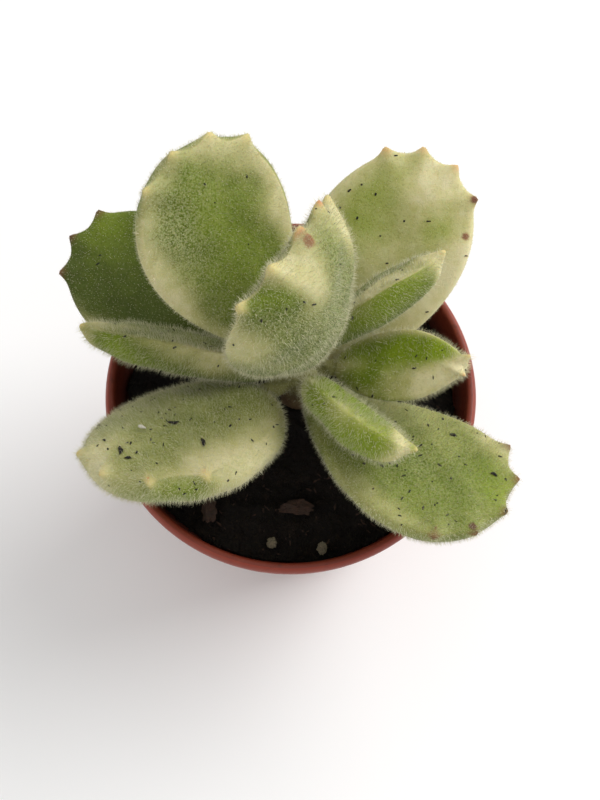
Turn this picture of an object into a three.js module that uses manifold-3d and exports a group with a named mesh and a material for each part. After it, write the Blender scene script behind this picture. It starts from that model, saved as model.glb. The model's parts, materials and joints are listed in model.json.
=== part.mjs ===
// A young succulent with ten thick, toothed leaves, growing in a thin plastic nursery pot.
// Millimetres, +Z up. The origin is the middle of the pot's underside, which stands on the table.
// Every leaf is one closed body, bent along its own arc; the stem carries a short stub for each.
import * as THREE from 'three';
import { mergeVertices } from 'three/addons/utils/BufferGeometryUtils.js';
import Module from 'manifold-3d';

const wasm = await Module();
wasm.setup();

// ---- driving dimensions (mm and degrees) ----
const GAP = 0.3; // clearance between neighbouring pieces

const POT = {
  rimRadius: 30, // outside of the lip
  height: 52,
  footRadius: 19.3,
  wall: 1.0,
  floor: 1.2,
  collarBottom: 43.5, // the wall steps out here into the collar
  collarRadius: 28.6,
  lip: 1.7, // width of the rolled lip
  segments: 48,
};
const DRAIN = { count: 6, radius: 2.2, ring: 13 };

const SOIL = { top: 46, rings: 11, lumps: 34 };

const STEM = {
  // centre line from under the soil to the growing tip: x, y, z, radius
  line: [
    [0.9, 1.4, 34, 1.4],
    [1.0, 1.5, 42, 2.6],
    [1.1, 1.5, 46, 3.1],
    [1.2, 1.5, 50, 2.5],
    [1.1, 1.3, 56, 2.2],
    [0.7, 1.5, 62, 2.0],
    [0.0, 1.9, 67, 1.7],
    [-0.9, 1.9, 71, 1.3],
  ],
  sides: 14,
  stubRadius: [1.5, 1.15], // at the stem and at the leaf
};

// The leaves grow in opposite pairs, each pair a step further up the stem than the last.
const PAIRS = { first: 54, step: 3.4, reach: 2.5 }; // reach: from the stem's middle to a leaf's base

// The sorts of leaf. curl: how far it bends up towards its upper face by the tip; widen moves the
// widest place towards the tip; cup lifts the edges; wrap is the arc of the underside, over 90 where
// it bulges out past the edge; step is the angle between its teeth, round the outline.
const BROAD = {
  length: 36, width: 23, thick: 7.5, widen: 0.35, cup: 1.5, wrap: 108, curl: 12, step: 21,
};
const FAT = {
  length: 31, width: 24, thick: 10.5, widen: 0, cup: 0, wrap: 120, curl: 10, step: 30,
};
const NARROW = {
  length: 26, width: 11, thick: 6, widen: 0.2, cup: 1.5, wrap: 94, curl: 10, step: 20,
};
const YOUNG = {
  length: 22, width: 11, thick: 6, widen: 0.1, cup: 1, wrap: 99, curl: 15, step: 26,
};

// A leaf: pair counts up the stem from 0; heading: compass direction it grows to, from +X; rise:
// slope at the base; roll: turn about its own length. It has count teeth, one every step of its
// sort, with their middle turned from the tip, positive to the right seen from above.
function grown(sort, pair, heading, rise, roll, count, middle, own = {}) {
  const leaf = { ...sort, reach: PAIRS.reach, heading, rise, roll, ...own };
  const z = PAIRS.first + PAIRS.step * pair;
  const [x, y] = stemAt(z);
  const turn = THREE.MathUtils.degToRad(heading);
  leaf.base = [x + leaf.reach * Math.cos(turn), y + leaf.reach * Math.sin(turn), z];
  leaf.teeth = [...Array(count).keys()].map((i) =>
    THREE.MathUtils.degToRad(middle + leaf.step * (i - (count - 1) / 2)));
  return leaf;
}

const LEAVES = {
  leaf_back_left: grown(BROAD, 3, 135, 52, 0, 4, 10),
  leaf_far_left: grown(BROAD, 0, 150, 10, -15, 3, 0, { thick: 5.5, width: 21, length: 38 }),
  leaf_left_narrow: grown(NARROW, 2, 180, 15, 55, 1, -10, { length: 30 }),
  leaf_front_left: grown(FAT, 1, 214, 15, 35, 4, -30, { reach: 6, length: 30 }),
  leaf_top: grown(FAT, 5, -45, 75, 10, 5, -15,
    { length: 28, width: 23, thick: 10, widen: 0.35, cup: 2.5, wrap: 110, curl: 25, step: 22, reach: 0 }),
  leaf_right_narrow: grown(NARROW, 4, 20, 30, -55, 1, 0, { length: 22, curl: 5, reach: 4 }),
  leaf_back_right: grown(BROAD, 1, 50, 25, 10, 4, -5, { widen: 0.15 }),
  leaf_right_small: grown(YOUNG, 2, -10, 25, 10, 2, 5, { reach: 6 }),
  leaf_front_small: grown(YOUNG, 3, -55, 25, -55, 1, -18, { reach: 5 }),
  leaf_front_right: grown(BROAD, 0, -45, 12, -20, 5, -8, { length: 37, widen: 0.5, cup: 2, thick: 8.5 }),
};
const TOOTH = { height: 1.5, halfWidth: 0.085 };
const LEAF_RINGS = [0, 0.35, 0.65, 0.87, 1]; // from the spine to the edge
const LEAF_STEPS = 12; // even steps round each half of the outline

// Loose bits lying on the soil: place, half sizes, turn.
const CHIPS = [
  { at: [1, -18.5], half: [3.2, 1.3, 0.8], turn: 25 },
  { at: [19.5, 13], half: [2.8, 1.6, 1.1], turn: -40 },
  { at: [-13, -19], half: [2.4, 1.1, 0.8], turn: 70 },
];
const GRAINS = [
  { at: [21.5, 1.5], half: [1.4, 1.1, 0.9], turn: 10 },
  { at: [-3, -24], half: [1.2, 0.9, 0.8], turn: 50 },
  { at: [5, -25], half: [1.0, 1.2, 0.8], turn: 0 },
  { at: [-23, 9], half: [1.3, 1.0, 0.9], turn: 30 },
  { at: [3, 22], half: [1.3, 1.2, 0.9], turn: 80 },
];

const COLOURS = {
  pot: 0x9c4a33,
  soil: 0x1d1613,
  stem: 0x8c8a5a,
  leaf: 0x93ab63,
  chip: 0x5a4334,
  grain: 0xcfc8ba,
};

const rad = THREE.MathUtils.degToRad;

// ---- helpers ----
function piece(name, geometry, colour, roughness) {
  const material = new THREE.MeshStandardMaterial({ color: colour, roughness, metalness: 0 });
  const made = new THREE.Mesh(geometry, material);
  made.name = name;
  return made;
}

// A closed geometry as a solid that can be joined and cut.
function solid(geometry) {
  const bare = geometry.clone();
  bare.deleteAttribute('normal');
  bare.deleteAttribute('uv');
  const merged = mergeVertices(bare, 1e-4);
  return new wasm.Manifold(new wasm.Mesh({
    numProp: 3,
    vertProperties: merged.attributes.position.array,
    triVerts: new Uint32Array(merged.index.array),
  }));
}

function shape(manifold) {
  const { vertProperties, triVerts } = manifold.getMesh();
  const made = new THREE.BufferGeometry();
  made.setAttribute('position', new THREE.BufferAttribute(vertProperties, 3));
  made.setIndex(new THREE.BufferAttribute(triVerts, 1));
  made.computeVertexNormals();
  return made;
}

// Triangles from a list of corner triples, without the ones that have collapsed to a line.
function closed(points, faces) {
  const made = new THREE.BufferGeometry();
  made.setAttribute('position', new THREE.Float32BufferAttribute(points.flatMap((p) => [...p]), 3));
  const full = faces.filter(([a, b, c]) => {
    const [p, q, r] = [points[a], points[b], points[c]];
    return p.distanceTo(q) > 1e-4 && q.distanceTo(r) > 1e-4 && r.distanceTo(p) > 1e-4;
  });
  made.setIndex(full.flat());
  made.computeVertexNormals();
  return made;
}

// Repeatable scatter numbers, 0 to 1.
function scatter(seed) {
  let s = seed;
  return () => {
    s = (s * 16807) % 2147483647;
    return s / 2147483647;
  };
}

// ---- pot ----
function pot() {
  const { rimRadius: R, height: H, footRadius: F, wall: w, floor, collarBottom: C } = POT;
  const below = R - 2.9; // outside of the wall just under the collar
  const profile = [
    [0, 0], [F - 0.8, 0], [F, 0.7], [below, C - 0.6], [POT.collarRadius, C + 0.2],
    [R - 0.7, H - 2.6], [R - 0.1, H - 2.0], [R, H - 0.8], [R - 0.45, H - 0.1],
    [R - 0.85, H], [R - POT.lip + 0.3, H - 0.15], [R - POT.lip, H - 0.9],
    [POT.collarRadius - w, C + 0.9], [below - w, C], [F - w, floor + 0.7],
    [F - w - 0.8, floor], [0, floor],
  ].map(([r, z]) => new THREE.Vector2(r, z));
  let body = solid(new THREE.LatheGeometry(profile, POT.segments).rotateX(Math.PI / 2));
  for (let i = 0; i < DRAIN.count; i += 1) {
    const turn = ((i + 0.5) * 2 * Math.PI) / DRAIN.count;
    const hole = new THREE.CylinderGeometry(DRAIN.radius, DRAIN.radius, 6, 14)
      .rotateX(Math.PI / 2)
      .translate(DRAIN.ring * Math.cos(turn), DRAIN.ring * Math.sin(turn), 0);
    body = body.subtract(solid(hole));
  }
  return shape(body);
}

// ---- leaves ----
// A point of the flat blade: round is the angle from the tip, out runs from the spine to the edge,
// side is 1 on the upper face and -1 underneath. grow makes the blade fatter all over.
function bladePoint(leaf, round, out, side, grow) {
  const length = leaf.length + 2 * grow;
  const width = leaf.width + 2 * grow;
  const k = leaf.widen;
  const c = Math.abs(k) > 1e-6 ? (Math.sqrt(1 + 8 * k * k) - 1) / (4 * k) : 0;
  const widest = Math.sqrt(1 - c * c) * (1 + k * c);
  const edgeX = (width / 2 / widest) * Math.sin(round) * (1 + k * Math.cos(round));
  const edgeY = (length / 2) * (1 + Math.cos(round)) - grow;
  const spineY = (length / 2) * (1 + 0.72 * Math.cos(round)) - grow;
  const wrap = rad(leaf.wrap);
  const reach = side > 0 ? out : Math.sin(out * wrap) / Math.sin(wrap);
  let x = edgeX * reach;
  let y = spineY + (edgeY - spineY) * reach;
  for (const tooth of leaf.teeth) {
    const off = Math.atan2(Math.sin(round - tooth), Math.cos(round - tooth)) / TOOTH.halfWidth;
    const lift = TOOTH.height * Math.exp(-off * off) * out ** 5;
    const along = new THREE.Vector2(Math.sin(round) * length, Math.cos(round) * width).normalize();
    x += lift * along.x;
    y += lift * along.y;
  }
  const place = THREE.MathUtils.clamp((spineY / leaf.length - 0.45) / 0.5, -1, 1);
  const thick = leaf.thick * (1 - 0.3 * place * place);
  const arc = (Math.cos(out * wrap) - Math.cos(wrap)) / (1 - Math.cos(wrap));
  let z = side > 0
    ? 0.28 * thick * (1 - out * out) + grow
    : -0.72 * thick * arc - grow;
  z += leaf.cup * ((2 * x) / width) ** 2;
  return [x, y, z];
}

// Bends a blade point along the leaf's arc and puts it where the leaf grows.
function bend(leaf, [x, y, z]) {
  const [heading, rise, roll, curl] = [leaf.heading, leaf.rise, leaf.roll, leaf.curl].map(rad);
  const along = new THREE.Vector3(
    Math.cos(heading) * Math.cos(rise), Math.sin(heading) * Math.cos(rise), Math.sin(rise));
  const flatUp = new THREE.Vector3(
    -Math.cos(heading) * Math.sin(rise), -Math.sin(heading) * Math.sin(rise), Math.cos(rise));
  const flatSide = new THREE.Vector3().crossVectors(along, flatUp);
  const up = flatUp.clone().multiplyScalar(Math.cos(roll)).addScaledVector(flatSide, Math.sin(roll));
  const side = flatSide.multiplyScalar(Math.cos(roll)).addScaledVector(flatUp, -Math.sin(roll));
  const turn = (curl * y) / leaf.length;
  const arc = leaf.length / curl;
  return new THREE.Vector3(...leaf.base)
    .addScaledVector(along, (arc - z) * Math.sin(turn))
    .addScaledVector(up, arc * (1 - Math.cos(turn)) + z * Math.cos(turn))
    .addScaledVector(side, x);
}

// Angles round the outline, the same on both halves, with a close trio at each tooth.
function outlineAngles(teeth) {
  const w = 1.5 * TOOTH.halfWidth;
  const sharp = teeth.flatMap((t) => [t - w, t, t + w]).map(Math.abs);
  const kept = [];
  const even = [...Array(LEAF_STEPS + 1).keys()].map((i) => (i * Math.PI) / LEAF_STEPS);
  for (const angle of [0, Math.PI, ...sharp.sort((a, b) => a - b), ...even])
    if (kept.every((other) => Math.abs(other - angle) > 0.055)) kept.push(angle);
  kept.sort((a, b) => a - b);
  const back = kept.slice(1, -1).reverse().map((angle) => -angle);
  return [...kept, ...back];
}

function leafBody(leaf, grow = 0) {
  const angles = outlineAngles(leaf.teeth);
  const n = angles.length;
  const rings = [
    ...LEAF_RINGS.slice(0, -1).map((out) => [out, 1]),
    [1, 1],
    ...LEAF_RINGS.slice(0, -1).reverse().map((out) => [out, -1]),
  ];
  const edge = (angle) => {
    const [x, y] = bladePoint(leaf, angle, 1, 1, grow);
    return [x, y, leaf.cup * ((2 * x) / (leaf.width + 2 * grow)) ** 2];
  };
  const points = rings.flatMap(([out, side]) => angles.map((angle) =>
    bend(leaf, out === 1 ? edge(angle) : bladePoint(leaf, angle, out, side, grow))));
  const faces = [];
  for (let r = 0; r + 1 < rings.length; r += 1)
    for (let i = 0; i < n; i += 1) {
      const [a, b] = [r * n + i, r * n + ((i + 1) % n)];
      faces.push([a, b, a + n], [b, b + n, a + n]);
    }
  return mergeVertices(closed(points, faces).deleteAttribute('normal'), 1e-4);
}

// ---- stem ----
function loft(line, sides) {
  const centres = line.map(([x, y, z]) => new THREE.Vector3(x, y, z));
  const points = [centres[0].clone()];
  line.forEach(([, , , radius], i) => {
    const before = centres[Math.max(i - 1, 0)];
    const after = centres[Math.min(i + 1, line.length - 1)];
    const along = after.clone().sub(before).normalize();
    const across = new THREE.Vector3(1, 0, 0).addScaledVector(along, -along.x).normalize();
    const other = new THREE.Vector3().crossVectors(along, across);
    for (let s = 0; s < sides; s += 1) {
      const turn = (s * 2 * Math.PI) / sides;
      points.push(centres[i].clone()
        .addScaledVector(across, radius * Math.cos(turn))
        .addScaledVector(other, radius * Math.sin(turn)));
    }
  });
  points.push(centres[line.length - 1].clone());
  const faces = [];
  const last = points.length - 1;
  for (let s = 0; s < sides; s += 1) {
    const t = (s + 1) % sides;
    faces.push([0, 1 + t, 1 + s]);
    for (let r = 0; r + 1 < line.length; r += 1) {
      const [a, b] = [1 + r * sides, 1 + (r + 1) * sides];
      faces.push([a + s, a + t, b + s], [a + t, b + t, b + s]);
    }
    faces.push([last, last - sides + s, last - sides + t]);
  }
  return closed(points, faces);
}

// The stem's centre and radius at a height.
function stemAt(z) {
  const { line } = STEM;
  const i = Math.max(0, line.findIndex((p, j) => j + 1 < line.length && z <= line[j + 1][2]));
  const t = THREE.MathUtils.clamp((z - line[i][2]) / (line[i + 1][2] - line[i][2]), 0, 1);
  return line[i].map((value, j) => value + t * (line[i + 1][j] - value));
}

// One grown piece: the stem with a short stub to each leaf, cut back clear of the leaves.
function stem() {
  let body = solid(loft(STEM.line, STEM.sides));
  for (const leaf of Object.values(LEAVES)) {
    const end = bend(leaf, [0, -GAP, 0]);
    const [x, y, , radius] = stemAt(end.z - 2);
    const [thick, thin] = STEM.stubRadius.map((value) => Math.min(value, radius));
    const start = new THREE.Vector3(x, y, end.z - 2);
    const middle = start.clone().lerp(end, 0.55).add(new THREE.Vector3(0, 0, -0.4));
    const far = end.clone().lerp(middle, -0.4);
    body = body.add(solid(loft([
      [...start, thick], [...middle, (thick + thin) / 2], [...end, thin], [...far, 0.6 * thin],
    ], 8)));
  }
  for (const leaf of Object.values(LEAVES)) body = body.subtract(solid(leafBody(leaf, GAP)));
  return body;
}

// ---- soil ----
const lumps = (() => {
  const next = scatter(71);
  return [...Array(SOIL.lumps)].map(() => {
    const [turn, out] = [next() * 2 * Math.PI, 27 * Math.sqrt(next())];
    return [out * Math.cos(turn), out * Math.sin(turn), 1.6 + 2.2 * next(), 1.5 * next() - 0.4];
  });
})();

function soilHeight(x, y) {
  const out = Math.hypot(x, y) / 28;
  let z = SOIL.top - 0.9 * out ** 4 + 0.35 * Math.sin(0.5 * x + 1) * Math.cos(0.4 * y);
  for (const [cx, cy, spread, height] of lumps)
    z += height * Math.exp(-((x - cx) ** 2 + (y - cy) ** 2) / (2 * spread * spread));
  return z;
}

function wallInside(z) {
  const { footRadius: F, wall: w, collarBottom: C, rimRadius: R } = POT;
  const below = R - 2.9 - w;
  if (z < C) return F - w + ((below - (F - w)) * (z - POT.floor - 0.7)) / (C - POT.floor - 0.7);
  return THREE.MathUtils.lerp(below, POT.collarRadius - w, Math.min(1, (z - C) / 0.9));
}

function soil(stemBody, bits) {
  const low = POT.floor + GAP;
  const profile = [[0, low], [wallInside(POT.floor + 0.7) - 1.2, low]];
  for (const z of [3, 16, 30, POT.collarBottom - 0.2]) profile.push([wallInside(z) - GAP - 0.05, z]);
  const edge = wallInside(46) - GAP - 0.35;
  for (let r = 0; r <= SOIL.rings; r += 1) profile.push([edge * (1 - r / SOIL.rings), SOIL.top]);
  profile[profile.length - 1][0] = 0;
  const made = new THREE.LatheGeometry(
    profile.map(([r, z]) => new THREE.Vector2(r, z)), POT.segments).rotateX(Math.PI / 2);
  const at = made.attributes.position;
  for (let i = 0; i < at.count; i += 1)
    if (at.getZ(i) > SOIL.top - 0.01) at.setZ(i, soilHeight(at.getX(i), at.getY(i)));
  const hole = loft(STEM.line.map(([x, y, z, radius], i) =>
    [x, y, i ? z : z - GAP, radius + GAP + 0.1]), STEM.sides);
  return shape(solid(made).subtract(solid(hole)));
}

// ---- loose bits ----
function bit({ at: [x, y], half, turn }, seed) {
  const next = scatter(seed);
  const made = mergeVertices(
    new THREE.IcosahedronGeometry(1, 1).deleteAttribute('normal').deleteAttribute('uv'), 1e-4);
  const p = made.attributes.position;
  for (let i = 0; i < p.count; i += 1) {
    const s = 0.8 + 0.3 * next();
    p.setXYZ(i, p.getX(i) * s, p.getY(i) * s, p.getZ(i) * s);
  }
  made.scale(...half).rotateZ(rad(turn));
  let rest = 0;
  for (let i = 0; i < p.count; i += 1)
    rest = Math.max(rest, soilHeight(x + p.getX(i), y + p.getY(i)) - p.getZ(i));
  made.translate(x, y, rest + GAP);
  made.computeVertexNormals();
  return made;
}

// ---- the whole plant ----
const plant = new THREE.Group();
const stemBody = stem();
plant.add(piece('pot', pot(), COLOURS.pot, 0.45));
plant.add(piece('soil', soil(stemBody), COLOURS.soil, 0.95));
plant.add(piece('stem', shape(stemBody), COLOURS.stem, 0.8));
for (const [name, leaf] of Object.entries(LEAVES))
  plant.add(piece(name, leafBody(leaf), COLOURS.leaf, 0.75));
CHIPS.forEach((chip, i) =>
  plant.add(piece(`bark_chip_${i + 1}`, bit(chip, 11 + i), COLOURS.chip, 0.9)));
GRAINS.forEach((grain, i) =>
  plant.add(piece(`perlite_${i + 1}`, bit(grain, 31 + i), COLOURS.grain, 0.85)));

export default plant;
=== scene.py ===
"""Looks for a small potted succulent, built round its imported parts. Metres, +Z up."""

import json
import math
import random

import bmesh
import bpy
import numpy as np
from bpy.props import FloatProperty, FloatVectorProperty, PointerProperty
from bpy.types import Operator, Panel, PropertyGroup
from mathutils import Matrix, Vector, noise

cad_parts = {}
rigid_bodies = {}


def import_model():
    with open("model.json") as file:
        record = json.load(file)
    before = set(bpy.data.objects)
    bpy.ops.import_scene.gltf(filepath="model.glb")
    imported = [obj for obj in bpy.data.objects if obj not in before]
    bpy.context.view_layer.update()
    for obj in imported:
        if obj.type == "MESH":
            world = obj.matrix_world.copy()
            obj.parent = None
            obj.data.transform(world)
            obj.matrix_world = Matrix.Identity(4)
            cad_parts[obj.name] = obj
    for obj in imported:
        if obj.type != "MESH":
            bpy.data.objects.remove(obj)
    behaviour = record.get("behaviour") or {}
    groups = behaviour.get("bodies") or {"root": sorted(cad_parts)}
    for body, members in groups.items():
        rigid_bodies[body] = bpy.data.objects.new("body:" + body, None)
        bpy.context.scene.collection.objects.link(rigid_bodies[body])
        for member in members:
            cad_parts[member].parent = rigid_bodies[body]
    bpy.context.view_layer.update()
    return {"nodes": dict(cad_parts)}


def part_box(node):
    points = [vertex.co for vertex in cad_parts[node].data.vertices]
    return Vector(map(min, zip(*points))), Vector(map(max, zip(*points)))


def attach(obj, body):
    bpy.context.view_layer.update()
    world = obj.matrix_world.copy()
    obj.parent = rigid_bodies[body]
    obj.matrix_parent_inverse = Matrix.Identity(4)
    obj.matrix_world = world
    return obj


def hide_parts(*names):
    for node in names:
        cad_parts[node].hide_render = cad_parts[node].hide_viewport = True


bl_info = {
    "name": "Potted Succulent",
    "version": (1, 0, 0),
    "blender": (4, 5, 0),
    "location": "3D View > Sidebar > Succulent",
    "description": "Makes the pot, soil, stem, furry leaves and studio of a small potted succulent",
    "category": "Add Mesh",
}

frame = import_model()
MM = 0.001


def paint(red, green, blue):
    """A screen colour from 0 to 255 as the linear colour that shaders use."""
    return tuple(
        c / 12.92 if c <= 0.04045 else ((c + 0.055) / 1.055) ** 2.4
        for c in (red / 255, green / 255, blue / 255)
    )


# ---------------------------------------------------------------- settings
def colour(name, description, rgb):
    return FloatVectorProperty(
        name=name, description=description, subtype="COLOR", size=3, min=0, max=1,
        default=paint(*rgb))


def length(name, description, millimetres):
    return FloatProperty(
        name=name, description=description, subtype="DISTANCE", unit="LENGTH", min=0,
        default=millimetres * MM)


class PotSettings(PropertyGroup):
    rim_radius: length("Rim radius", "Outside radius of the rolled lip", 30)
    height: length("Height", "Height of the pot over its foot", 52)
    foot_radius: length("Foot radius", "Radius at the bottom of the wall", 19.3)
    wall: length("Wall", "Thickness of the moulded wall", 1)
    lip: length("Lip", "Width of the rolled lip", 1.7)
    drain_radius: length("Drain radius", "Radius of each drain hole", 2.2)
    plastic: colour("Plastic", "Colour of the moulded plastic", (132, 46, 25))
    faded: colour("Faded plastic", "Colour where the plastic has paled", (150, 66, 42))
    # This dark colour is also used as painted shade over the whole inside of the pot
    grime_and_shade: colour("Grime", "Colour of the dirt over the soil line", (40, 22, 17))


class SoilSettings(PropertyGroup):
    top: length("Soil top", "Height of the soil in the middle", 46)
    crumbs: FloatProperty(
        name="Crumbs", description="Crumbs on each square millimetre", min=0, max=6, default=2.4)
    crumb_size: length("Crumb size", "Size of the larger crumbs", 1.3)
    dark: colour("Wet peat", "Colour of the wet peat", (22, 17, 13))
    light: colour("Dry peat", "Colour of the drier crumbs", (58, 43, 32))
    bark: colour("Bark", "Colour of the bark chips", (68, 44, 32))
    grain: colour("Grains", "Colour of the pale mineral grains", (110, 103, 84))


class StemSettings(PropertyGroup):
    skin: colour("Skin", "Colour of the young stem", (150, 148, 92))
    woody: colour("Woody", "Colour low on the stem, where it turns to bark", (108, 84, 56))


class LeafSettings(PropertyGroup):
    tooth_height: length("Tooth height", "How far a tooth stands out of the leaf's edge", 2.3)
    deep: colour("Deep green", "Darkest green of the leaf flesh", (60, 73, 12))
    bright: colour("Bright green", "Freshest green of the leaf flesh", (124, 144, 14))
    cream: colour("Cream", "Colour of the pale edges", (203, 195, 130))
    pale: colour("Pale", "Lightest tone in the pale edges", (224, 215, 172))
    down: colour("Down", "Colour of the grey down on the leaf skin", (168, 171, 120))
    tip: colour("Tooth tip", "Colour of a young tooth's tip", (214, 200, 136))
    ripe: colour("Ripe tip", "Colour of an older tooth's tip", (204, 146, 98))
    dried: colour("Dried tip", "Colour of a dry tooth or an old scar", (88, 50, 44))


class FurSettings(PropertyGroup):
    length: length("Hair length", "Length of a leaf hair", 1.25)
    thickness: length("Hair thickness", "Width of a hair at its root", 0.055)
    density: FloatProperty(
        name="Hair density", description="Hairs on each square millimetre", min=0, max=16,
        default=10)
    comb: FloatProperty(
        name="Comb", description="How far hairs lean towards the end of their leaf", min=0,
        max=2, default=0.4)
    stray: FloatProperty(
        name="Stray", description="How far hairs stray from their neighbours", min=0, max=2,
        default=0.45)
    white: colour("Hair", "Colour of the hairs", (224, 220, 186))


class DustSettings(PropertyGroup):
    density: FloatProperty(
        name="Speck density", description="Specks on each square millimetre of a dusty leaf",
        min=0, max=1, default=0.16)
    size: length("Speck size", "Length of a large speck", 1.05)
    dirt: colour("Dirt", "Colour of the specks of soil", (34, 30, 20))


class StageSettings(PropertyGroup):
    floor: colour("Floor", "Colour of the pale floor", (250, 250, 249))
    key: FloatProperty(name="Key light", description="Power of the main light",
                       subtype="POWER", unit="POWER", min=0, default=3.7)
    fill: FloatProperty(name="Fill light", description="Power of the second light",
                        subtype="POWER", unit="POWER", min=0, default=0.35)
    sky: FloatProperty(name="Sky", description="Strength of the light from all round",
                       min=0, default=0.64)


# ---------------------------------------------------------------- leaves, in millimetres and degrees
# The stem's middle from the soil to the growing tip: x, y, z, radius.
STEM_LINE = [
    (0.9, 1.4, 40, 2.2), (1.0, 1.5, 44, 2.9), (1.1, 1.5, 46.5, 3.0), (1.2, 1.5, 50, 2.45),
    (1.1, 1.3, 56, 2.15), (0.7, 1.5, 62, 1.95), (0.0, 1.9, 67, 1.7), (-0.9, 1.9, 71, 1.35),
]

# The leaves grow in opposite pairs, as the solid ones do, each pair a step further up the stem.
FIRST_PAIR, PAIR_STEP, REACH = 54, 3.4, 2.5  # reach is from the stem's middle to a leaf's base
BROAD = dict(length=36, width=23, thick=7.5, widen=0.35, cup=1.5, wrap=108, curl=12, step=21)
FAT = dict(length=31, width=24, thick=10.5, widen=0, cup=0, wrap=120, curl=10, step=30)
NARROW = dict(length=26, width=11, thick=6, widen=0.2, cup=1.5, wrap=94, curl=10, step=20, point=0.3)
YOUNG = dict(length=22, width=11, thick=6, widen=0.1, cup=1, wrap=99, curl=15, step=26, point=0.4)
# Where a wash of colour lies on a leaf: its column from edge to edge and its row from foot to tip.
COLUMNS = {"left": -1, "half left": -0.5, "middle": 0, "half right": 0.5, "right": 1}
ROWS = {"foot": 0.1, "low": 0.35, "waist": 0.6, "shoulder": 0.8, "tip": 1}
SPREADS = {"spot": (0.2, 0.08), "patch": (0.3, 0.16), "cloud": (0.5, 0.3), "band": (0.3, 0.45)}
TOP, BACK, BOTH = 1, -1, 0  # the faces that a wash lies on


def stem_at(height):
    """The stem's middle and radius at a height: x, y, z, radius."""
    heights = [p[2] for p in STEM_LINE]
    return [np.interp(height, heights, [p[k] for p in STEM_LINE]) for k in range(4)]


def grown(sort, pair, heading, rise, roll, count, middle, **own):
    """A leaf of one sort on the stem, with its teeth a step apart round the tip."""
    leaf = dict(sort, reach=REACH, heading=heading, rise=rise, roll=roll) | own
    z = FIRST_PAIR + PAIR_STEP * pair
    x, y = stem_at(z)[:2]
    turn = math.radians(heading)
    leaf["base"] = (x + leaf["reach"] * math.cos(turn), y + leaf["reach"] * math.sin(turn), z)
    leaf["teeth"] = [math.radians(middle + leaf["step"] * (i - (count - 1) / 2)) for i in range(count)]
    return leaf


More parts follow.
